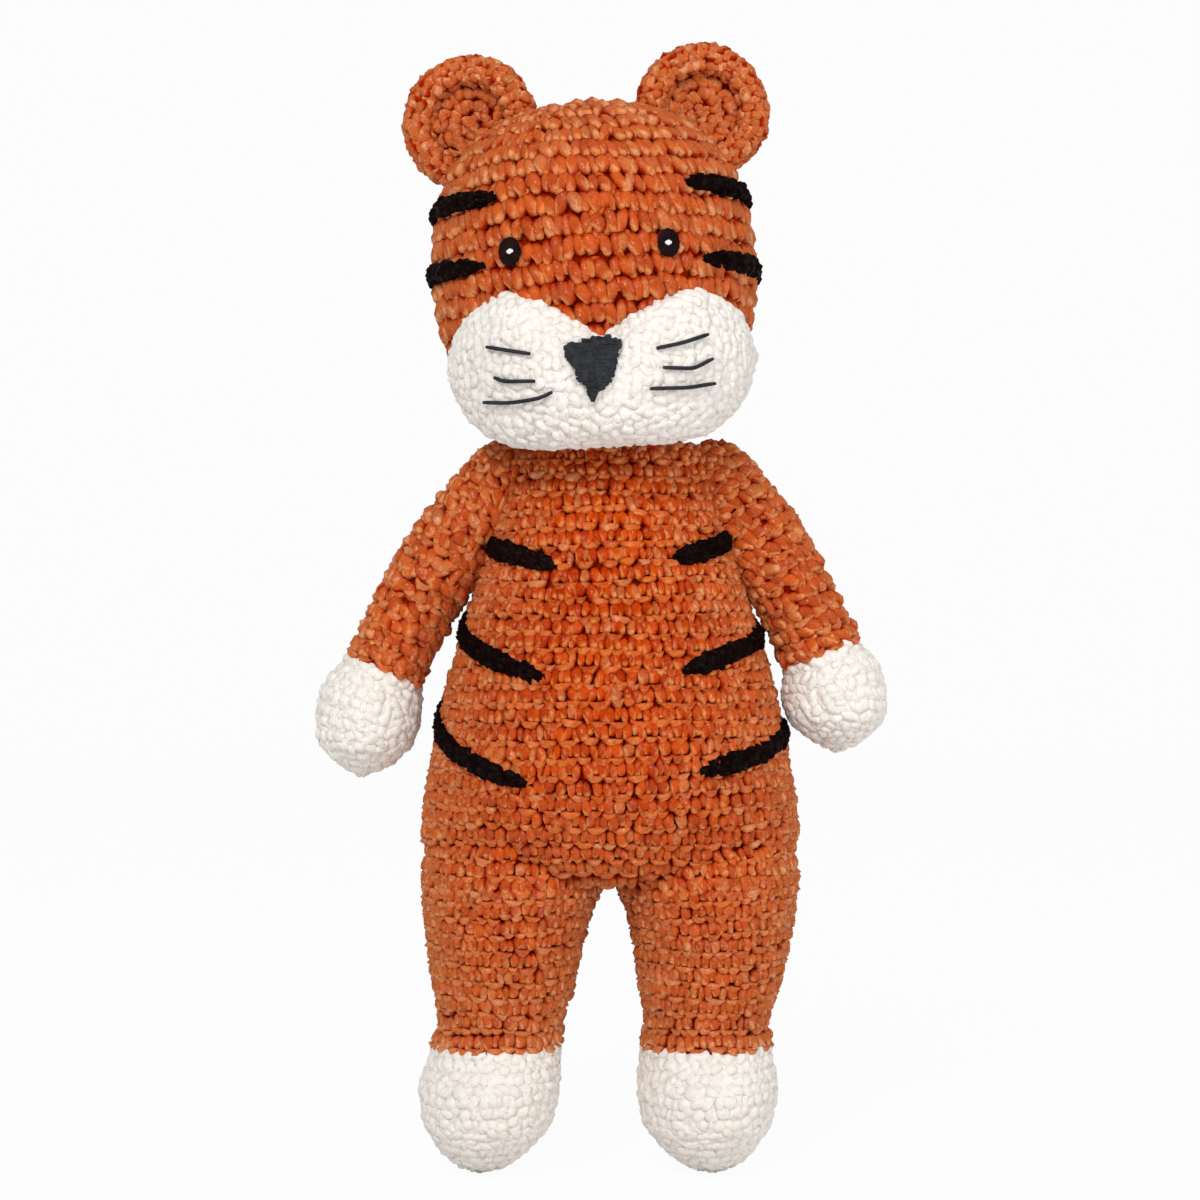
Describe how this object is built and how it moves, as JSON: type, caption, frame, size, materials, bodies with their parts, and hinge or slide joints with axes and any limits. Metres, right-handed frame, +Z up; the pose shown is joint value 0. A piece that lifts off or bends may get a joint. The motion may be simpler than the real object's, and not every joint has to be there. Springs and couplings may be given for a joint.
{
  "type": "plush tiger",
  "caption": "Standing crocheted plush tiger with stuffed head, body, arms, legs and tail, sewn-on muzzle and stripes.",
  "frame": {"origin": "on the ground under the middle of the toy's box", "axes": "+Z up, the toy faces -Y, its own left is +X"},
  "size_m": [0.2291, 0.1631, 0.4478],
  "materials": {
    "orange_yarn": "burnt orange chenille yarn, crocheted",
    "white_yarn": "white chenille yarn, crocheted",
    "black_yarn": "black chenille yarn, sewn on",
    "dark_thread": "dark embroidery thread, satin stitch",
    "white_thread": "white thread knot",
    "stuffing": "white fibre filling"
  },
  "bodies": {
    "left_arm": {"arm_left": "orange_yarn", "arm_stuffing_left": "stuffing", "paw_left": "white_yarn"},
    "right_arm": {"arm_right": "orange_yarn", "arm_stuffing_right": "stuffing", "paw_right": "white_yarn"},
    "torso": {"body": "orange_yarn", "body_stripe_left_lower": "black_yarn", "body_stripe_left_middle": "black_yarn", "body_stripe_left_upper": "black_yarn", "body_stripe_right_lower": "black_yarn", "body_stripe_right_middle": "black_yarn", "body_stripe_right_upper": "black_yarn", "body_stuffing": "stuffing"},
    "head": {"ear_left": "orange_yarn", "ear_right": "orange_yarn", "eye_glint_left": "white_thread", "eye_glint_right": "white_thread", "eye_left": "dark_thread", "eye_right": "dark_thread", "head": "orange_yarn", "head_stripe_left_lower": "black_yarn", "head_stripe_left_upper": "black_yarn", "head_stripe_right_lower": "black_yarn", "head_stripe_right_upper": "black_yarn", "head_stuffing": "stuffing", "muzzle": "white_yarn", "muzzle_stuffing": "stuffing", "nose": "dark_thread", "nose_stem": "dark_thread", "whisker_left_1": "dark_thread", "whisker_left_2": "dark_thread", "whisker_left_3": "dark_thread", "whisker_right_1": "dark_thread", "whisker_right_2": "dark_thread", "whisker_right_3": "dark_thread"},
    "left_leg": {"foot_left": "white_yarn", "leg_left": "orange_yarn", "leg_stuffing_left": "stuffing"},
    "right_leg": {"foot_right": "white_yarn", "leg_right": "orange_yarn", "leg_stuffing_right": "stuffing"},
    "neck": {"neck_seam": "orange_yarn"},
    "tail": {"tail": "orange_yarn", "tail_band_1": "black_yarn", "tail_band_2": "black_yarn", "tail_stuffing": "stuffing"}
  },
  "joints": [
    {"name": "head_turn", "type": "hinge", "parent": "torso", "child": "neck", "pos_m": [0.0033, -0.0048, 0.289], "axis": [0, 0, 1], "range_deg": [-25, 25], "stiffness_Nm_per_rad": 1.2},
    {"name": "head_nod", "type": "hinge", "parent": "neck", "child": "head", "pos_m": [0.0033, -0.0048, 0.289], "axis": [1, 0, 0], "range_deg": [-12, 10], "stiffness_Nm_per_rad": 2.5},
    {"name": "left_arm_raise", "type": "hinge", "parent": "torso", "child": "left_arm", "pos_m": [0.0445, -0.0048, 0.2732], "axis": [0, -1, 0], "range_deg": [0, 45], "stiffness_Nm_per_rad": 0.4},
    {"name": "right_arm_raise", "type": "hinge", "parent": "torso", "child": "right_arm", "pos_m": [-0.0379, -0.0048, 0.2732], "axis": [0, 1, 0], "range_deg": [0, 45], "stiffness_Nm_per_rad": 0.4},
    {"name": "left_leg_swing", "type": "hinge", "parent": "torso", "child": "left_leg", "pos_m": [0.0418, -0.0048, 0.115], "axis": [-1, 0, 0], "range_deg": [-20, 40], "stiffness_Nm_per_rad": 4},
    {"name": "right_leg_swing", "type": "hinge", "parent": "torso", "child": "right_leg", "pos_m": [-0.0352, -0.0048, 0.115], "axis": [-1, 0, 0], "range_deg": [-20, 40], "stiffness_Nm_per_rad": 4},
    {"name": "tail_lift", "type": "hinge", "parent": "torso", "child": "tail", "pos_m": [0.0033, 0.05095, 0.181], "axis": [1, 0, 0], "range_deg": [0, 50]}
  ]
}
